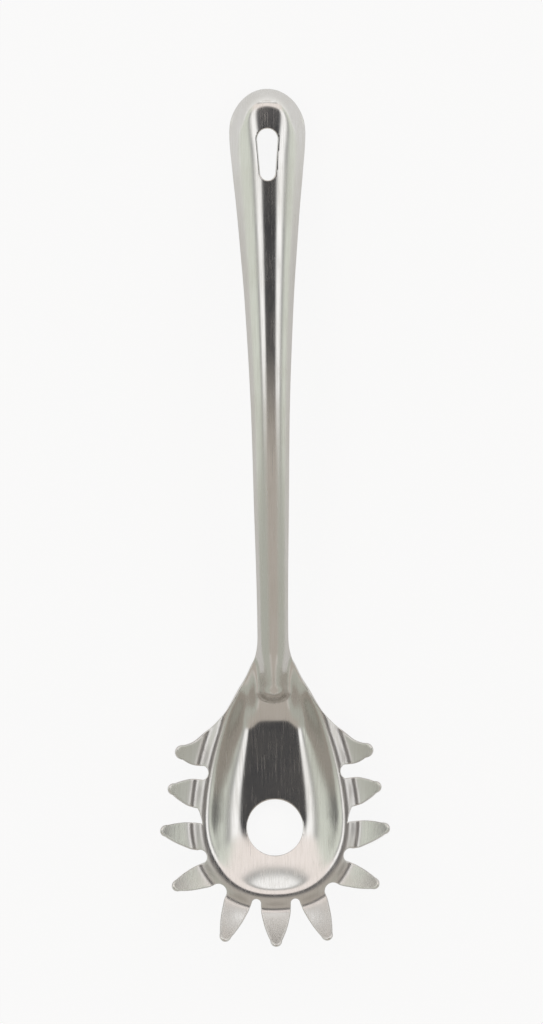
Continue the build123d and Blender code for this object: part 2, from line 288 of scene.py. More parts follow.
# %% One cubic curve
def bezier(ends, pieces):
    """Points along one cubic curve, without its last point."""
    a, b, c, d = ends
    shares = [k / pieces for k in range(pieces)]
    return [
        a * (1 - t) ** 3 + b * 3 * t * (1 - t) ** 2 + c * 3 * t * t * (1 - t) + d * t ** 3
        for t in shares
    ]


print("middle of a cubic bump from 0 up to 1 and back", bezier((0.0, 1.0, 1.0, 0.0), 2)[1])

# %% The shoulder's edge
SHOULDER_TIP_R = 2.8 * MM
SHOULDER_TIP_DEGREES = 26.9
SHOULDER_REACH = 0.64
SHOULDER_BULGE = 0.9 * MM
SHOULDER_PLACES = (0.0, 0.19, 0.387, 0.629, 0.808, 0.951, 1.0)
SHOULDER_WIDTHS = (0.0, 0.017, 0.121, 0.327, 0.549, 0.798, 1.0)
SHOULDER_END_SLOPE = 0.8


def shoulder_edge(bm, last):
    """Round the short tine beside the neck and up its long back to the handle."""
    centre = rim_point(SHOULDER_TIP_DEGREES, TINE_REACH * SHOULDER_REACH)
    above = Vector((0.0, SHOULDER_TIP_R, 0.0))
    middle = (last.co + centre - above) * 0.5 - Vector((0.0, SHOULDER_BULGE, 0.0))
    last = arc_to(bm, last, middle, centre - above)
    last = arc_to(bm, last, centre + Vector((SHOULDER_TIP_R, 0.0, 0.0)), centre + above)
    start = Vector((NECK_HALF, NECK_Y, 0.0))
    span = centre + above - start
    knots = [start + Vector((span.x * w, span.y * p, 0.0)) for p, w in zip(SHOULDER_PLACES, SHOULDER_WIDTHS)]
    slopes = [Vector((0.0, knots[1].y - knots[0].y, 0.0))]
    slopes += [(knots[k + 1] - knots[k - 1]) * 0.5 for k in range(1, len(knots) - 1)]
    slopes += [Vector(((knots[-1].x - knots[-2].x) * SHOULDER_END_SLOPE, 0.0, 0.0))]
    curve = []
    for k in range(len(knots) - 1):
        ends = (knots[k], knots[k] + slopes[k] / 3.0, knots[k + 1] - slopes[k + 1] / 3.0, knots[k + 1])
        pieces = max(LEAST_STEPS, round((knots[k + 1] - knots[k]).length / EDGE_STEP))
        curve += bezier(ends, pieces)
    return line_to(bm, last, curve[::-1])


last = shoulder_edge(blank, last)
print("edge with the shoulder", len(blank.verts), "points, up to", last.co)

# %% [markdown]
# ## Handle, slot and hole in the outline
# The handle widens towards its round end, where it fills the hand. The slot near that end hangs the server
# on a hook, and the large hole in the bowl drains it and measures one portion of dry spaghetti. A modifier
# could cut both out of a finished sheet, but then their edges couldn't be rounded together with the rest.
# So the outline runs on down the middle line and round half of the slot and half of the hole, which also
# leaves a face without holes in it, as the operators need.

# %% Side and round end of the handle
HANDLE_STEP = 1.5 * MM
END_STEPS = 48


def handle_edge(bm, last):
    """Up the side of the handle and round a quarter of its end to the middle line."""
    steps = round((WIDEST_Y - NECK_Y) / HANDLE_STEP)
    side = [NECK_Y + (WIDEST_Y - NECK_Y) * k / steps for k in range(steps + 1)]
    last = line_to(bm, last, [(float(handle_half(y)), y, 0.0) for y in side[1:]])
    turns = [math.radians(90.0 * k / END_STEPS) for k in range(1, END_STEPS + 1)]
    end = [(WIDEST_HALF * math.cos(t), WIDEST_Y + (TAIL_Y - WIDEST_Y) * math.sin(t), 0.0) for t in turns]
    last = line_to(bm, last, end)
    last.co.x = 0.0
    return last


last = handle_edge(blank, last)
print("edge with the handle", len(blank.verts), "points, up to", last.co)

# %% Half of the hanging slot
SLOT_OUTER_Y = 149.4 * MM
SLOT_INNER_Y = 129.5 * MM
SLOT_OUTER_R = 4.2 * MM
SLOT_INNER_R = 3.2 * MM


def slot_edge(bm, last):
    """Half of the slot: a wide round end, a straight side that leans in and a narrower round end."""
    outer = Vector((0.0, SLOT_OUTER_Y - SLOT_OUTER_R, 0.0))
    inner = Vector((0.0, SLOT_INNER_Y + SLOT_INNER_R, 0.0))
    lean = math.asin((SLOT_OUTER_R - SLOT_INNER_R) / (outer - inner).length)
    square = Vector((math.cos(lean), -math.sin(lean), 0.0))
    bow = Vector((math.cos(math.radians(45.0)), math.sin(math.radians(45.0)), 0.0))
    last = line_to(bm, last, [(0.0, SLOT_OUTER_Y, 0.0)])
    last = arc_to(bm, last, outer + bow * SLOT_OUTER_R, outer + square * SLOT_OUTER_R)
    last = line_to(bm, last, [inner + square * SLOT_INNER_R])
    bow.y = -bow.y
    last = arc_to(bm, last, inner + bow * SLOT_INNER_R, Vector((0.0, SLOT_INNER_Y, 0.0)))
    last.co.x = 0.0
    return last


last = slot_edge(blank, last)
print("slot", (SLOT_OUTER_Y - SLOT_INNER_Y) / MM, "mm long, edge now", len(blank.verts), "points")

# %% Half of the portion hole and the closed face
HOLE_R = 10.75 * MM
HOLE_Y = -119.2 * MM

last = line_to(blank, last, [(0.0, HOLE_Y + HOLE_R, 0.0)])
last = arc_to(blank, last, Vector((HOLE_R, HOLE_Y, 0.0)), Vector((0.0, HOLE_Y - HOLE_R, 0.0)))
last.co.x = 0.0
blank.edges.new((last, first))
bmesh.ops.contextual_create(blank, geom=blank.edges[:])
print("blank outline", len(blank.verts), "points,", len(blank.faces), "face", blank.faces[:][0].calc_area())

# %% [markdown]
# ## Thickness and tumbled edges
# A stamped edge is sharp, so the maker tumbles the blanks until their edges are round. The face is extruded
# to the thickness of the sheet, and its two outlines get a small round bevel while every corner is still
# clean. After the pressing, the same bevel would have to follow a bent edge, which is harder to keep even.
# The wall on the middle line is taken away, because the mirrored half joins on there.

# %% Extrude and bevel the blank
EDGE_ROUND = 0.32 * MM
EDGE_SEGMENTS = 3
SNAP = 0.02 * MM


def thicken(bm):
    """Extrude the face down by the sheet, round its outline and open it along the middle line."""
    grown = bmesh.ops.extrude_face_region(bm, geom=bm.faces[:], use_keep_orig=True)
    low = [v for v in grown["geom"] if isinstance(v, bmesh.types.BMVert)]
    bmesh.ops.translate(bm, verts=low, vec=(0.0, 0.0, -SHEET))
    bmesh.ops.recalc_face_normals(bm, faces=bm.faces[:])
    middle = [e for e in bm.edges if all(abs(v.co.x) < SNAP for v in e.verts)]
    level = [e for e in bm.edges if abs(e.verts[0].co.z - e.verts[1].co.z) < SNAP and e not in set(middle)]
    bmesh.ops.bevel(
        bm, geom=level, offset=EDGE_ROUND, offset_type="OFFSET", segments=EDGE_SEGMENTS, profile=0.5,
        affect="EDGES", material=-1, clamp_overlap=False,
    )
    wall = [f for f in bm.faces if all(abs(v.co.x) < SNAP / 10.0 for v in f.verts)]
    bmesh.ops.delete(bm, geom=wall, context="FACES")


thicken(blank)
print("thick blank", len(blank.verts), "points", len(blank.faces), "faces")

# %% [markdown]
# ## Dicing
# The two large faces have no points inside them, so a press couldn't bend them yet. Planes dice the blank
# into small cells. A triangulation would be quicker, but its long thin triangles show as ripples in
# polished steel, where an even grid doesn't. The handle bends less than the head, so it takes longer cells,
# apart from its slot.

# %% Dice the blank
CELL = 0.6 * MM
HANDLE_CELL = 1.2 * MM
SLOT_MARGIN = 3.0 * MM


def evenly(low, high, step):
    """Even places from low to high, about one step apart."""
    steps = max(1, round((high - low) / step))
    return [low + (high - low) * k / steps for k in range(steps + 1)]


def dice(bm, geom, places, axis):
    """Cut by parallel planes, the middle one first, so that each half is then cut by its own planes alone."""
    if not places:
        return
    half = len(places) // 2
    normal = Vector((axis == 0, axis == 1, 0.0))
    cut = bmesh.ops.bisect_plane(bm, geom=geom, plane_co=normal * places[half], plane_no=normal, dist=SNAP)
    low, high = [], []
    for part in cut["geom"]:
        verts = [part] if isinstance(part, bmesh.types.BMVert) else part.verts
        middle = sum(v.co[axis] for v in verts) / len(verts)
        if middle < places[half] + SNAP:
            low.append(part)
        if middle > places[half] - SNAP:
            high.append(part)
    dice(bm, low, places[:half], axis)
    dice(bm, high, places[half + 1:], axis)


widest = max(v.co.x for v in blank.verts)
rows = evenly(TIP_Y + CELL, NECK_Y, CELL)
rows += evenly(NECK_Y, SLOT_INNER_Y - SLOT_MARGIN, HANDLE_CELL)[1:]
rows += evenly(SLOT_INNER_Y - SLOT_MARGIN, TAIL_Y - CELL, CELL)[1:]
dice(blank, blank.verts[:] + blank.edges[:] + blank.faces[:], rows, 1)
dice(blank, blank.verts[:] + blank.edges[:] + blank.faces[:], evenly(CELL, widest - CELL, CELL), 0)
bmesh.ops.triangulate(blank, faces=[f for f in blank.faces if len(f.verts) > 4])
print("diced blank", len(blank.verts), "points", len(blank.faces), "faces")

# %% [markdown]
# ## Heights of the handle
# The press gives each place of the blank a height, and the next cells write those heights as formulas. The
# handle is an arch that is bowed along one large arc, which makes thin steel stiff. It rolls down at its
# end, where the arch gets fuller. The height of its crest is worked out first, and the arch is then hung
# from the crest. A cage of curves could be lofted instead, but a formula is quick to tune and has no seams.

# %% Ramp from the bowl's floor up to the neck
RAMP_Y = -79.0 * MM
RAMP_EASE = 0.26
NECK_RISE = 5.4 * MM
NECK_SLOPE_Y = -50.0 * MM
RIM_HEIGHT = 12.6 * MM


def ramp_share(y):
    """0 where the ramp begins and 1 at the neck."""
    return np.clip((y - RAMP_Y) / (NECK_SLOPE_Y - RAMP_Y), 0.0, 1.0)


def ramp_height(y):
    """Height of the ramp over the bowl's floor."""
    run = ramp_share(y)
    return (RIM_HEIGHT + NECK_RISE - SHEET) * (RAMP_EASE * run * run + (1.0 - RAMP_EASE) * smooth(run))


print("ramp's height half way", ramp_height((RAMP_Y + NECK_SLOPE_Y) / 2.0))

# %% Height of the crest
NECK_SLOPE = 0.30
BOW_RADIUS = 480.0 * MM
ARCH_DEPTH = 0.66
RIB_HEIGHT = ARCH_DEPTH * NECK_HALF


def crest_height(y):
    """Height of the rib's and the handle's highest line."""
    run = np.maximum(y - NECK_SLOPE_Y, 0.0)
    bowed = RIM_HEIGHT + NECK_RISE + RIB_HEIGHT + NECK_SLOPE * run - run * run / (2.0 * BOW_RADIUS)
    return np.where(y < NECK_SLOPE_Y, SHEET + ramp_height(y) + RIB_HEIGHT, bowed)


print("crest at the neck and the tail", crest_height(NECK_Y), crest_height(TAIL_Y))

# %% [markdown]
# ## Rib, nose and arch
# The arch of the handle runs on through the neck as a pressed rib, and ends in a steep round nose above the
# bowl. That stiffens the neck, which carries the whole load. One formula covers the handle, the rib and the
# nose: a curve that falls from the crest to both sides, with a power that makes it fuller where the steel
# is.

# %% Height of the arch
RIB_HALF = 5.9 * MM
NOSE_Y = -71.8 * MM
NOSE_STEEPNESS = 1.6
NOSE_FULLNESS = 1.2
NOSE_FADE = 2.0 * MM
CREASE_Y = -58.0 * MM
END_ROLL = 6.5 * MM
END_ROLL_FADE = 6.0 * MM
END_FULLNESS = 0.6
END_FULLNESS_Y = 138.0 * MM
END_FULLNESS_FADE = 18.0 * MM


def arch_height(x, y):
    """Height of the handle, the rib and its nose."""
    blend = smooth((y - CREASE_Y) / (NECK_Y - CREASE_Y))
    rib = RIB_HALF + (NECK_HALF - RIB_HALF) * blend
    half = np.where(y > NECK_Y, handle_half(y), rib)
    depth = np.where(y > NECK_Y, ARCH_DEPTH * half, RIB_HEIGHT)
    nose = NOSE_Y + RIB_HALF
    across = np.where(y < nose, np.hypot(x, NOSE_STEEPNESS * (nose - y)), x) / half
    power = 2.0 + NOSE_FULLNESS * smooth((nose - y) / NOSE_FADE)
    power = power + END_FULLNESS * smooth((y - END_FULLNESS_Y) / END_FULLNESS_FADE)
    side_drop = np.abs(across) ** power
    end_length = TAIL_Y - WIDEST_Y
    edge = np.hypot(across, np.maximum(y - WIDEST_Y, 0.0) / end_length)
    roll_start = 1.0 - END_ROLL / end_length
    roll = np.maximum(edge - roll_start, 0.0) / (1.0 - roll_start)
    turned = (1.0 - side_drop) * roll * roll * smooth((y - WIDEST_Y) / END_ROLL_FADE)
    turned = np.where(y > WIDEST_Y, turned, 0.0)
    return crest_height(np.maximum(y, nose)) - depth * (side_drop + turned)


print("crest and edge at the widest", arch_height(np.array([0.0, WIDEST_HALF]), np.full(2, WIDEST_Y)))

# %% [markdown]
# ## Bowl and ring of tines
# The bowl has a flat floor, dished walls and a rolled rim. Outside the rim the sheet dips into a valley and
# then rises along the tines. Everything there depends on two measures, how far up the wall a place lies and
# how far outside the rim, so these come first. `higher` then takes the higher of two surfaces with a
# rounded seam, and `bend` is a level start, an arc and a straight slope, as a press brake makes.

# %% Blending and bending
def higher(a, b, blend):
    """The higher of two surfaces, with a rounded seam."""
    h = np.clip(0.5 + 0.5 * (a - b) / blend, 0.0, 1.0)
    return b + (a - b) * h + blend * h * (1.0 - h)


def bend(run, radius, degrees):
    """Height after a level start, an arc and a straight slope."""
    turn = math.radians(degrees)
    arc_run = radius * math.sin(turn)
    on_arc = np.clip(run, 0.0, arc_run)
    straight = np.maximum(run - arc_run, 0.0)
    return radius - np.sqrt(radius * radius - on_arc * on_arc) + straight * math.tan(turn)


print("rise over 10 mm after a bend of 45 degrees", bend(10.0 * MM, 3.0 * MM, 45.0))

# %% Place up the wall and distance outside the rim
FLOOR_HALF = 10.7 * MM
FLOOR_NARROWING = 2.2 * MM
FLOOR_NARROWING_LENGTH = 40.0 * MM
FLOOR_BELOW_CENTRE = 7.0 * MM
RIB_FILLET = 1.4 * MM
NECK_END_LIMIT = 0.999
LEAST_REACH = SHEET / 1000.0
LEAST_SHARE = 0.0012


def wall_and_distance(x, y):
    """Place up the bowl's wall, 0 at the floor and 1 at the rim, and distance outside the rim."""
    side = np.abs(x)
    along = y - RIM_Y
    v = np.clip(along / RIM_TO_NECK_END, 0.0, NECK_END_LIMIT)
    inner = 1.0 - v ** RIM_NECK_POWER
    rim = RIM_HALF * inner ** (1.0 / RIM_NECK_POWER)
    floor = FLOOR_HALF - FLOOR_NARROWING * smooth(along / FLOOR_NARROWING_LENGTH)
    lean = RIM_HALF * inner ** (1.0 / RIM_NECK_POWER - 1.0) * v ** (RIM_NECK_POWER - 1.0) / RIM_TO_NECK_END
    neck_place = (side - floor) / higher(rim - floor, RIB_HALF, RIB_FILLET)
    neck_out = (side - rim) / np.sqrt(1.0 + lean * lean)
    reach = np.maximum(np.hypot(side, along), LEAST_REACH)
    c = np.maximum(side / reach, LEAST_SHARE)
    s = np.maximum(-along / reach, 0.0)
    rim = ((c / RIM_HALF) ** RIM_TIP_POWER + (s / RIM_TO_TIP_END) ** RIM_TIP_POWER) ** (-1.0 / RIM_TIP_POWER)
    floor = 1.0 / np.hypot(c / FLOOR_HALF, s / FLOOR_BELOW_CENTRE)
    place = np.where(along > 0.0, neck_place, (reach - floor) / (rim - floor))
    return place, np.where(along > 0.0, neck_out, reach - rim)


print("place and distance at the rim", wall_and_distance(np.array([RIM_HALF]), np.array([RIM_Y])))

# %% Height of the bowl and its ring
WALL_POWER = 1.7
HIGHEST_PLACE = 2.0
RIM_ROLL = 4.6 * MM
RAMP_CORNER_HALF = 5.0 * MM
RAMP_CORNER = 4.0 * MM
SHOULDER_FADE_Y = -84.0 * MM
SHOULDER_FADE_LENGTH = 18.0 * MM
VALLEY_OUT = 5.0 * MM
VALLEY_RADIUS = 1.8 * MM
VALLEY_DEGREES = 34.0
TINE_BEND_RADIUS = 3.0 * MM
TINE_DEGREES = 37.0
TINE_CURVE_RADIUS = 32.0 * MM


def head_height(x, y):
    """Height of the bowl, its rim, the valley and the tines."""
    place, out = wall_and_distance(x, y)
    run = ramp_share(y)
    level = RIM_HEIGHT + 2.0 * NECK_RISE * (run ** 3 - run ** 4 / 2.0)
    side = (level - SHEET) * np.clip(place, 0.0, HIGHEST_PLACE) ** WALL_POWER
    corner = RAMP_CORNER * smooth((np.abs(x) - RAMP_CORNER_HALF) / (FLOOR_HALF - RAMP_CORNER_HALF))
    wall = SHEET + np.hypot(ramp_height(y + corner), side)
    fade = 1.0 - smooth((y - SHOULDER_FADE_Y) / SHOULDER_FADE_LENGTH)
    drop = bend(VALLEY_OUT, VALLEY_RADIUS, VALLEY_DEGREES)
    inner = bend(VALLEY_OUT - out, VALLEY_RADIUS, VALLEY_DEGREES)
    outer = bend(out - VALLEY_OUT, TINE_BEND_RADIUS, TINE_DEGREES)
    outer = outer + np.maximum(out - VALLEY_OUT, 0.0) ** 2 / (2.0 * TINE_CURVE_RADIUS)
    ring = level + (np.where(out < VALLEY_OUT, inner, outer) - drop) * fade
    return -higher(-wall, -ring, RIM_ROLL)


print("floor and head's tip", head_height(np.zeros(2), np.array([RIM_Y, TIP_Y])))

# %% [markdown]
# ## One surface without sharp creases
# The arch and the bowl meet along the sides of the rib, with a fillet between them. Sheet steel can't take
# a sharp crease, so every height is then taken as the mean over two small rings of places round it. A
# smoothing modifier could ease the mesh afterwards, but it would also shrink the edges and the tips of the
# tines.

# %% Join and ease the heights
CREASE_LENGTH = 14.0 * MM
CREASE_DROP = 5.0 * MM
EASE_RINGS = (0.7 * MM, 1.4 * MM)
EASE_PLACES = 6


def sharp_height(x, y):
    """Height of the arch and the bowl together, before the creases are eased."""
    foot = head_height(x, y) - CREASE_DROP * smooth((y - CREASE_Y) / CREASE_LENGTH)
    arch = arch_height(x, y)
    return np.where(y > NECK_Y, arch, higher(arch, foot, RIB_FILLET))


def pressed_height(x, y):
    """Mean height over two small rings round a place."""
    total = sharp_height(x, y)
    for ring in EASE_RINGS:
        for k in range(EASE_PLACES):
            turn = math.tau * (k + 0.5) / EASE_PLACES
            total = total + sharp_height(x + ring * math.cos(turn), y + ring * math.sin(turn))
    return total / (1 + EASE_PLACES * len(EASE_RINGS))


print("floor and rim", pressed_height(np.array([0.0, RIM_HALF]), np.array([RIM_Y, RIM_Y])))

# %% [markdown]
# ## Press the blank
# Now the blank is pressed. A place on the upper face goes straight to its height. A place that lies deeper
# in the sheet is moved square to the pressed surface, so that the steel keeps its thickness on the steep
# walls. Moving it straight down would be simpler, but it would make the walls thin. Along the tines the
# upper face is drawn in a little, as a press draws the blank in, so that the tines' undersides stay inside
# the outline.

# %% Press
LEAN_STEP = SHEET / 100.0
TINE_DRAW = 5.0 * MM


def surface_lean(x, y):
    """Sideways parts of the direction square to the pressed surface, and the size that they are shares of."""
    ends_x = pressed_height(x + LEAN_STEP, y) - pressed_height(x - LEAN_STEP, y)
    ends_y = pressed_height(x, y + LEAN_STEP) - pressed_height(x, y - LEAN_STEP)
    lean_x, lean_y = ends_x / (2.0 * LEAN_STEP), ends_y / (2.0 * LEAN_STEP)
    return lean_x, lean_y, np.sqrt(1.0 + lean_x ** 2 + lean_y ** 2)


def press(bm):
    """Move every point of the blank to its place in the pressed sheet."""
    flat = np.array([v.co for v in bm.verts])
    x, y, depth = flat[:, 0], flat[:, 1], -flat[:, 2]
    lean_x, lean_y, size = surface_lean(x, y)
    drawn_in = SHEET * smooth((wall_and_distance(x, y)[1] - VALLEY_OUT) / TINE_DRAW)
    x, y = x - drawn_in * lean_x / size, y - drawn_in * lean_y / size
    lean_x, lean_y, size = surface_lean(x, y)
    upright = pressed_height(x, y) - depth / size
    bent = np.stack([x + depth * lean_x / size, y + depth * lean_y / size, upright], 1)
    for vert, place in zip(bm.verts, bent):
        vert.co = place


press(blank)
print("pressed half, lowest and highest", min(v.co.z for v in blank.verts), max(v.co.z for v in blank.verts))

# %% [markdown]
# ## The other half, and the resting pose
# The half sheet is mirrored and its middle line is merged, which closes the skin. Mirroring turns faces
# inside out, so the normals are worked out again. The server then lies as it would on a table, on its bowl
# and on the end of its handle, which tips it back by a few degrees. The points themselves are turned and
# moved, and the object stays at the origin, so that patterns on Object coordinates keep their place.

# %% Mirror and lay down
PITCH_DEGREES = 5.779


def lay_down(bm):
    """Tip the server back onto its bowl and the end of its handle, in the middle of the frame's box."""
    turn = Matrix.Rotation(math.radians(-PITCH_DEGREES), 3, "X")
    bmesh.ops.rotate(bm, verts=bm.verts[:], cent=(0.0, 0.0, 0.0), matrix=turn)
    ys = [v.co.y for v in bm.verts]
    lowest = min(v.co.z for v in bm.verts)
    middle = (min(ys) + max(ys)) / 2.0
    shift = Vector((0.0, (cad_low.y + cad_high.y) / 2.0 - middle, cad_low.z - lowest))
    bmesh.ops.translate(bm, verts=bm.verts[:], vec=shift)
    return turn, shift


for vert in blank.verts:
    if abs(vert.co.x) < SNAP / 10.0:
        vert.co.x = 0.0
half_sheet = blank.verts[:] + blank.edges[:] + blank.faces[:]
bmesh.ops.mirror(blank, geom=half_sheet, merge_dist=SNAP / 10.0, axis="X")
bmesh.ops.recalc_face_normals(blank, faces=blank.faces[:])
rest_turn, rest_shift = lay_down(blank)
open_edges = [e for e in blank.edges if len(e.link_faces) != 2]
print("pressed", len(blank.faces), "faces, open edges", len(open_edges), "moved", rest_shift)

# %% [markdown]
# ## The sheet as one object
# The imported part names fourteen zones of the one sheet, face to face. The real steel has no seams there, so
# one smooth object takes the place of all fourteen. It rides on the part's only body.

# %% Make the sheet an object
def steel_object(name, bm):
    """Shade the mesh smooth and link it as an object."""
    for face in bm.faces:
        face.smooth = True
    mesh = bpy.data.meshes.new(name)
    bm.to_mesh(mesh)
    bm.free()
    made = bpy.data.objects.new(name, mesh)
    bpy.context.scene.collection.objects.link(made)
    return made


server = steel_object("pressed_sheet", blank)
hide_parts(*[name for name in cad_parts])
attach(server, "root")
print("server size", server.dimensions)

# %% [markdown]
# ## Polished stainless steel
# The real sheet is polished with a mop along its length, so it mirrors its surroundings but blurs them a
# little, mostly across the polishing lines. A metal needs hardly any colour of its own: a pale, slightly
# warm grey. What makes it look real is a roughness that drifts from place to place, fine lines that are
# stretched along the server, a few hair scratches from use and a faint unevenness of the pressed sheet. An
# image could hold these, but noise has no repeats and no pixels. All of it reads Object coordinates, so it
# stays on the steel.

# %% Helpers for nodes
def add_node(tree, kind, **settings):
    """Add a node and set its options."""
    node = tree.nodes.new(kind)
    for name, value in settings.items():
        setattr(node, name, value)
    return node


def fill(tree, sockets, values):
    """Link each value that is an output of a node, and type in each value that is a number or a colour."""
    for socket, value in zip(sockets, values):
        if isinstance(value, bpy.types.NodeSocket):
            tree.links.new(value, socket)
        elif value is not None:
            socket.default_value = value


def number(tree, operation, first, second=None, third=None):
    """A sum on numbers or on the outputs of other nodes."""
    node = add_node(tree, "ShaderNodeMath", operation=operation)
    fill(tree, node.inputs, (first, second, third))
    return node.outputs[0]


steel = bpy.data.materials.new("polished_steel")
steel.use_nodes = True
steel_tree = steel.node_tree
steel_shader = steel_tree.nodes["Principled BSDF"]
steel_shader.inputs["Metallic"].default_value = 1.0
steel_place = add_node(steel_tree, "ShaderNodeTexCoord").outputs["Object"]
print("nodes at the start", len(steel_tree.nodes))

# %% Noise for drift, lines and scratches
EVEN = (1.0, 1.0, 1.0)
DRIFT_SCALE = 38.0
LINE_STRETCH = (1.0, 0.022, 0.1)
LINE_SCALE = 2600.0
LINE_ROUGHNESS = 0.7
WIDE_STRETCH = (1.0, 0.03, 0.1)
WIDE_SCALE = 620.0
SCRATCH_STRETCH = (1.0, 0.05, 0.1)
SCRATCH_SCALE = 900.0
SCRATCH_RANGE = (0.74, 0.78)


def noise(tree, coordinates, stretch, scale, detail, roughness=0.55):
    """Noise whose pattern is squeezed by three scales, so that it can run in lines."""
    mapping = add_node(tree, "ShaderNodeMapping")
    mapping.inputs["Scale"].default_value = stretch
    tree.links.new(coordinates, mapping.inputs["Vector"])
    made = add_node(tree, "ShaderNodeTexNoise")
    made.inputs["Scale"].default_value = scale
    made.inputs["Detail"].default_value = detail
    made.inputs["Roughness"].default_value = roughness
    tree.links.new(mapping.outputs["Vector"], made.inputs["Vector"])
    return made.outputs["Fac"]


def between(tree, value, low, high, low_to, high_to):
    """Stretch a part of a value's range to another range, with soft ends."""
    node = add_node(tree, "ShaderNodeMapRange", interpolation_type="SMOOTHSTEP")
    for name, amount in (("From Min", low), ("From Max", high), ("To Min", low_to), ("To Max", high_to)):
        node.inputs[name].default_value = amount
    tree.links.new(value, node.inputs["Value"])
    return node.outputs["Result"]


drift = noise(steel_tree, steel_place, EVEN, DRIFT_SCALE, 3.0)
lines = noise(steel_tree, steel_place, LINE_STRETCH, LINE_SCALE, 3.0, LINE_ROUGHNESS)
wide_lines = noise(steel_tree, steel_place, WIDE_STRETCH, WIDE_SCALE, 2.0)
scratches = noise(steel_tree, steel_place, SCRATCH_STRETCH, SCRATCH_SCALE, 1.0)
scratch = between(steel_tree, scratches, *SCRATCH_RANGE, 0.0, 1.0)
print("nodes with the noise", len(steel_tree.nodes))

# %% Colour of the steel
STEEL_COLOUR = (0.72, 0.715, 0.70, 1.0)
STEEL_STAIN = (0.66, 0.65, 0.62, 1.0)
STREAK_RANGE = (0.35, 0.65)
STAIN_RANGE = (0.42, 0.70)

colour = add_node(steel_tree, "ShaderNodeMix", data_type="RGBA")
colours = [socket for socket in colour.inputs if socket.type == "RGBA"]
colours[0].default_value = STEEL_COLOUR
colours[1].default_value = STEEL_STAIN
streaks = number(steel_tree, "MULTIPLY", between(steel_tree, lines, *STREAK_RANGE, 0.0, 1.0), 0.5)
stains = between(steel_tree, drift, *STAIN_RANGE, 0.0, 1.0)
steel_tree.links.new(number(steel_tree, "MULTIPLY_ADD", stains, 0.5, streaks), colour.inputs["Factor"])
tinted = [socket for socket in colour.outputs if socket.type == "RGBA"][0]
steel_tree.links.new(tinted, steel_shader.inputs["Base Color"])
print("nodes with the colour", len(steel_tree.nodes))

# %% [markdown]
# ## Dull bends
# A mop can't reach well into the narrow bends between the rim and the tines, so the steel stays a little
# satin there. The mask for it is worked out from the egg shape of the rim, written again as nodes: 1 on the
# rim, less inside it and more outside. A painted mask would need a texture, while this one follows the
# sizes of the rim by itself.

# %% Mask of the ring round the rim
RING_START = (0.93, 1.05)
RING_END = (1.5, 2.0)
RING_ON_TINES = 0.4
RING_NECK_FADE = (34.0 * MM, 44.0 * MM)

right = Vector((1.0, 0.0, 0.0))
up = rest_turn @ Vector((0.0, 1.0, 0.0))
back = rest_turn @ Vector((0.0, 0.0, 1.0))


def part_along(tree, direction, axis):
    """How far a place or a direction reaches along an axis."""
    node = add_node(tree, "ShaderNodeVectorMath", operation="DOT_PRODUCT")
    tree.links.new(direction, node.inputs[0])
    node.inputs[1].default_value = axis
    return node.outputs["Value"]


def ring_share(tree, place):
    """1 in the narrow bends round the bowl's rim, less on the tines and 0 elsewhere."""
    side = number(tree, "DIVIDE", number(tree, "ABSOLUTE", part_along(tree, place, right)), RIM_HALF)
    along = number(tree, "SUBTRACT", part_along(tree, place, up), RIM_Y + rest_shift.dot(up))
    to_neck = number(tree, "GREATER_THAN", along, 0.0)
    power = number(tree, "MULTIPLY_ADD", to_neck, RIM_NECK_POWER - RIM_TIP_POWER, RIM_TIP_POWER)
    forth = number(tree, "DIVIDE", along, RIM_TO_NECK_END)
    lengthwise = number(tree, "MAXIMUM", forth, number(tree, "DIVIDE", along, -RIM_TO_TIP_END))
    egg = number(tree, "ADD", number(tree, "POWER", side, power), number(tree, "POWER", lengthwise, power))
    start = between(tree, egg, *RING_START, 0.0, 1.0)
    share = number(tree, "MULTIPLY", start, between(tree, egg, *RING_END, 1.0, RING_ON_TINES))
    return number(tree, "MULTIPLY", share, between(tree, along, *RING_NECK_FADE, 1.0, 0.0))


dull = ring_share(steel_tree, steel_place)
print("nodes with the ring", len(steel_tree.nodes))

# %% Roughness of the steel
DRIFT_RANGE = (0.3, 0.7)
MOP_ROUGHNESS = (0.15, 0.21)
LINE_RANGE = (0.48, 0.75)
LINE_DULLNESS = 0.14
SCRATCH_DULLNESS = 0.05
RING_DULLNESS = 0.17

mopped = between(steel_tree, drift, *DRIFT_RANGE, *MOP_ROUGHNESS)
rough = number(steel_tree, "ADD", mopped, between(steel_tree, lines, *LINE_RANGE, 0.0, LINE_DULLNESS))
rough = number(steel_tree, "MULTIPLY_ADD", scratch, SCRATCH_DULLNESS, rough)
rough = number(steel_tree, "MULTIPLY_ADD", dull, RING_DULLNESS, rough)
steel_tree.links.new(rough, steel_shader.inputs["Roughness"])
print("nodes with the roughness", len(steel_tree.nodes))

# %% [markdown]
# ## Height of the finest marks
# The lines and scratches are a few thousandths of a millimetre deep. Real geometry that fine would need a
# mesh of many millions of faces, so here, and only here, the height comes from a bump. It is measured in
# metres, in units of the bump's small distance, so that it stays as shallow as on the real steel.

# %% Bump of the steel
BUMP_UNIT = 2.2e-6
LINE_HEIGHT = 1.1
WIDE_HEIGHT = 3.0
SCRATCH_HEIGHT = -0.5
DRIFT_HEIGHT = 6.0

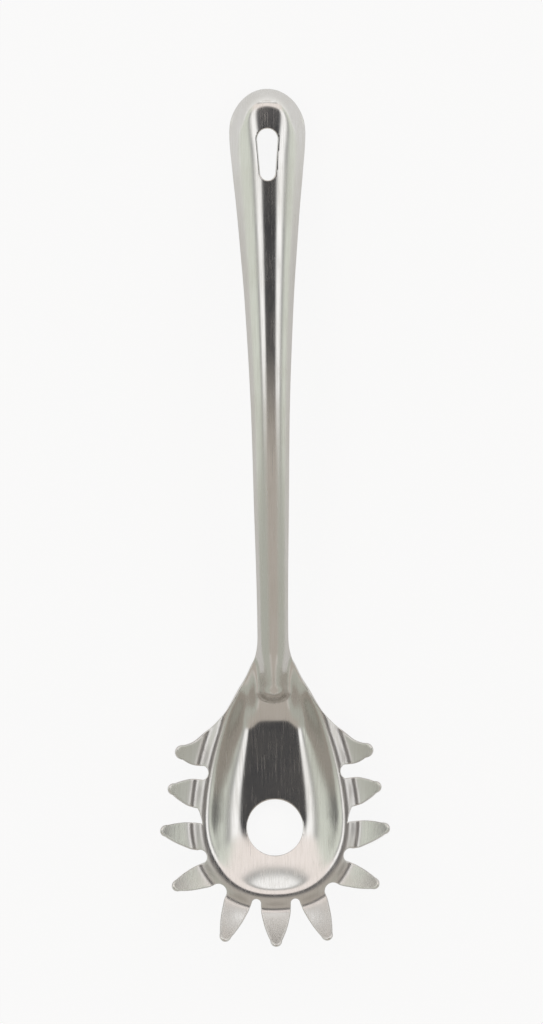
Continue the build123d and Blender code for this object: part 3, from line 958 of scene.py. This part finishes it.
height = number(steel_tree, "MULTIPLY", lines, LINE_HEIGHT)
height = number(steel_tree, "MULTIPLY_ADD", wide_lines, WIDE_HEIGHT, height)
height = number(steel_tree, "MULTIPLY_ADD", scratch, SCRATCH_HEIGHT, height)
height = number(steel_tree, "MULTIPLY_ADD", drift, DRIFT_HEIGHT, height)
bump = add_node(steel_tree, "ShaderNodeBump")
bump.inputs["Strength"].default_value = 1.0
bump.inputs["Distance"].default_value = BUMP_UNIT
steel_tree.links.new(height, bump.inputs["Height"])
steel_tree.links.new(bump.outputs["Normal"], steel_shader.inputs["Normal"])
server.data.materials.append(steel)
print("steel nodes", len(steel_tree.nodes))

# %% [markdown]
# ## Camera
# The photograph looks square at the floor of the bowl from far above, so the camera leans back by the same
# few degrees as the server does on its table. A long lens far away keeps the handle and the bowl at one
# scale. An orthographic camera would do nearly the same, but a real lens keeps a trace of depth. The server
# leans a little to the left in the picture, so the camera is rolled by that much.

# %% The camera
PICTURE_HIGH = 393.8 * MM
PICTURE_MIDDLE_Y = 2.3 * MM
PICTURE_LEVEL = 16.0 * MM
CAMERA_AWAY = 8.0
CAMERA_SEES = 20.0
CAMERA_ROLL = 0.64
SENSOR_HIGH = 24.0


def make_camera():
    """Camera square above the bowl's floor, so that the picture is as high as PICTURE_HIGH."""
    lens = bpy.data.cameras.new("camera")
    lens.sensor_fit = "VERTICAL"
    lens.sensor_height = SENSOR_HIGH
    lens.lens = SENSOR_HIGH * CAMERA_AWAY / PICTURE_HIGH
    lens.clip_end = CAMERA_SEES
    camera = bpy.data.objects.new("camera", lens)
    bpy.context.scene.collection.objects.link(camera)
    middle = rest_turn @ Vector((0.0, PICTURE_MIDDLE_Y, PICTURE_LEVEL)) + rest_shift
    roll = Matrix.Rotation(math.radians(-CAMERA_ROLL), 3, back)
    axes = Matrix((roll @ right, roll @ up, back)).transposed()
    camera.matrix_world = Matrix.Translation(middle + back * CAMERA_AWAY) @ axes.to_4x4()
    bpy.context.scene.camera = camera
    return camera


camera = make_camera()
print("camera at", camera.location, "lens", camera.data.lens)

# %% [markdown]
# ## Studio
# Polished steel shows nothing but what stands round it, so the studio is part of the finish. The
# photograph's reflections tell where its screens stood: a dark one right above, around the camera, a bright
# white panel on each side of it, pale greenish walls lower down, a warm beige screen towards the tines' end
# of the room and a pinkish white one towards the handle's end. They could be built as lit panels. The world
# paints them by direction instead, which gives soft and clean reflections, and they stay in place when the
# camera moves.

# %% Colours of the screens, by angle in degrees
DARK = (0.060, 0.060, 0.064)
WHITE = (1.34, 1.33, 1.33)
GREY = (0.42, 0.42, 0.41)
GREEN = (0.86, 0.89, 0.81)
OLIVE = (0.54, 0.545, 0.49)
BEIGE = (0.56, 0.51, 0.46)
PINK = (1.14, 1.05, 1.01)
LIGHT = (0.80, 0.75, 0.71)

ACROSS_MIDDLE = (
    (0, DARK), (29, DARK), (37, WHITE), (53, WHITE), (60, GREY),
    (63, GREY), (71, GREEN), (108, GREEN), (120, GREY),
)
ACROSS_TINES = ((0, BEIGE), (26, BEIGE), (42, LIGHT), (58, OLIVE), (100, OLIVE), (112, GREY))
ACROSS_NECK = ((0, BEIGE), (30, BEIGE), (58, OLIVE), (100, OLIVE), (112, GREY))
UP_HANDLE = (
    (0, PINK), (54, PINK), (59, GREY), (62, GREY),
    (66, WHITE), (72, WHITE), (77, LIGHT), (90, LIGHT),
)
print("screens across the middle", len(ACROSS_MIDDLE))

# %% Rows of colours
HALF_TURN = 180.0


def colour_row(tree, angle, stops):
    """Colours by an angle in degrees."""
    ramp = add_node(tree, "ShaderNodeValToRGB")
    tree.links.new(number(tree, "DIVIDE", angle, HALF_TURN), ramp.inputs["Fac"])
    elements = ramp.color_ramp.elements
    while len(elements) < len(stops):
        elements.new(1.0)
    for element, (degrees, colour) in zip(elements, stops):
        element.position = degrees / HALF_TURN
        element.color = (*colour, 1.0)
    return ramp.outputs["Color"]


def mixed(tree, share, first, second):
    """Mix of two colours."""
    node = add_node(tree, "ShaderNodeMixRGB")
    fill(tree, node.inputs, (share, first, second))
    return node.outputs[0]


world = bpy.data.worlds.new("studio")
world.use_nodes = True
bpy.context.scene.world = world
print("empty world nodes", len(world.node_tree.nodes))

# %% The screens in the world
STUDIO_TURN = 6.0
TINES_BELOW = (-13.0, -8.0)
NECK_BELOW = (-54.0, -42.0)
HANDLE_ABOVE = (19.0, 27.0)
WALL_BESIDE = (42.0, 58.0)


def studio_colour(tree, direction):
    """Colour of the screen that stands in a direction."""
    sideways = part_along(tree, direction, right)
    across = number(tree, "DEGREES", number(tree, "ARCTAN2", sideways, part_along(tree, direction, back)))
    side_angle = number(tree, "ABSOLUTE", number(tree, "SUBTRACT", across, STUDIO_TURN))
    up_angle = number(tree, "DEGREES", number(tree, "ARCSINE", part_along(tree, direction, up)))
    beside = number(tree, "DEGREES", number(tree, "ARCSINE", number(tree, "ABSOLUTE", sideways)))
    neck = colour_row(tree, side_angle, ACROSS_NECK)
    tines = colour_row(tree, side_angle, ACROSS_TINES)
    tines = mixed(tree, between(tree, up_angle, *NECK_BELOW, 1.0, 0.0), neck, tines)
    handle = colour_row(tree, number(tree, "ABSOLUTE", up_angle), UP_HANDLE)
    handle = mixed(tree, between(tree, beside, *WALL_BESIDE, 0.0, 1.0), handle, (*GREEN, 1.0))
    shown = colour_row(tree, side_angle, ACROSS_MIDDLE)
    shown = mixed(tree, between(tree, up_angle, *TINES_BELOW, 1.0, 0.0), shown, tines)
    return mixed(tree, between(tree, up_angle, *HANDLE_ABOVE, 0.0, 1.0), shown, handle)


room = world.node_tree
screens = studio_colour(room, add_node(room, "ShaderNodeTexCoord").outputs["Generated"])
seen_by_camera = add_node(room, "ShaderNodeLightPath").outputs["Is Camera Ray"]
shown = mixed(room, seen_by_camera, screens, (1.0, 1.0, 1.0, 1.0))
room.links.new(shown, room.nodes["Background"].inputs["Color"])
print("world nodes", len(room.nodes))

# %% [markdown]
# ## Floor
# The server lies on a plain white table that fades into a white background. The camera sees the table near
# white, and a share of its real shading stays in it, so that the soft shadow under the server shows. To the
# steel it is less bright, so that the edges of the server stand out. From beside the handle's end outwards
# it glows brighter for the steel alone: a painted glow, seen only in the reflections, standing in for a
# white card laid there.

# %% The table's material
TABLE_COLOUR = (0.92, 0.92, 0.92, 1.0)
TABLE_ROUGHNESS = 0.9
GLOW_SHARE = 0.88
STEEL_SEES_PLACES = (0.10, 0.15)
STEEL_SEES = (0.3, 0.75)
# Painted glow past the handle's end, seen only in the steel's reflections.
REFLECTED_GLOW_PLACES = (0.165, 0.20)
REFLECTED_GLOW_EXTRA = 0.30


def white_table():
    """White that glows for the camera, and less for the steel, over plain white shading."""
    material = bpy.data.materials.new("white_table")
    material.use_nodes = True
    tree = material.node_tree
    shader = tree.nodes["Principled BSDF"]
    shader.inputs["Base Color"].default_value = TABLE_COLOUR
    shader.inputs["Roughness"].default_value = TABLE_ROUGHNESS
    light = add_node(tree, "ShaderNodeLightPath").outputs
    along = part_along(tree, add_node(tree, "ShaderNodeTexCoord").outputs["Object"], (0.0, 1.0, 0.0))
    glow = add_node(tree, "ShaderNodeEmission")
    glow.inputs["Color"].default_value = (1.0, 1.0, 1.0, 1.0)
    # Painted glow: past the handle's end the table glows brighter, for the steel's reflections only.
    reflected_glow = between(tree, along, *REFLECTED_GLOW_PLACES, 0.0, REFLECTED_GLOW_EXTRA)
    reflected_glow = number(tree, "MULTIPLY", reflected_glow, light["Is Glossy Ray"])
    tree.links.new(number(tree, "ADD", reflected_glow, 1.0), glow.inputs["Strength"])
    seen = between(tree, along, *STEEL_SEES_PLACES, *STEEL_SEES)
    seen = number(tree, "MULTIPLY", light["Is Glossy Ray"], seen)
    seen = number(tree, "MAXIMUM", seen, light["Is Transmission Ray"])
    seen = number(tree, "MAXIMUM", seen, light["Is Camera Ray"])
    mix = add_node(tree, "ShaderNodeMixShader")
    share = number(tree, "MULTIPLY", seen, GLOW_SHARE)
    fill(tree, mix.inputs, (share, shader.outputs["BSDF"], glow.outputs["Emission"]))
    tree.links.new(mix.outputs["Shader"], tree.nodes["Material Output"].inputs["Surface"])
    return material


table_white = white_table()
print("table nodes", len(table_white.node_tree.nodes))

# %% The floor
TABLE_HALF = 6.0


def make_floor():
    """One square under the server."""
    bm = bmesh.new()
    bmesh.ops.create_grid(bm, x_segments=1, y_segments=1, size=TABLE_HALF)
    mesh = bpy.data.meshes.new("floor")
    bm.to_mesh(mesh)
    bm.free()
    mesh.materials.append(table_white)
    floor = bpy.data.objects.new("floor", mesh)
    bpy.context.scene.collection.objects.link(floor)
    return floor


floor = make_floor()
bpy.context.scene.view_settings.view_transform = "Standard"
print("floor", floor.dimensions)

# %% [markdown]
# Last, the box of the imported part is printed in millimetres.

print("cad box", [round(v / MM, 2) for v in (*cad_low, *cad_high)])
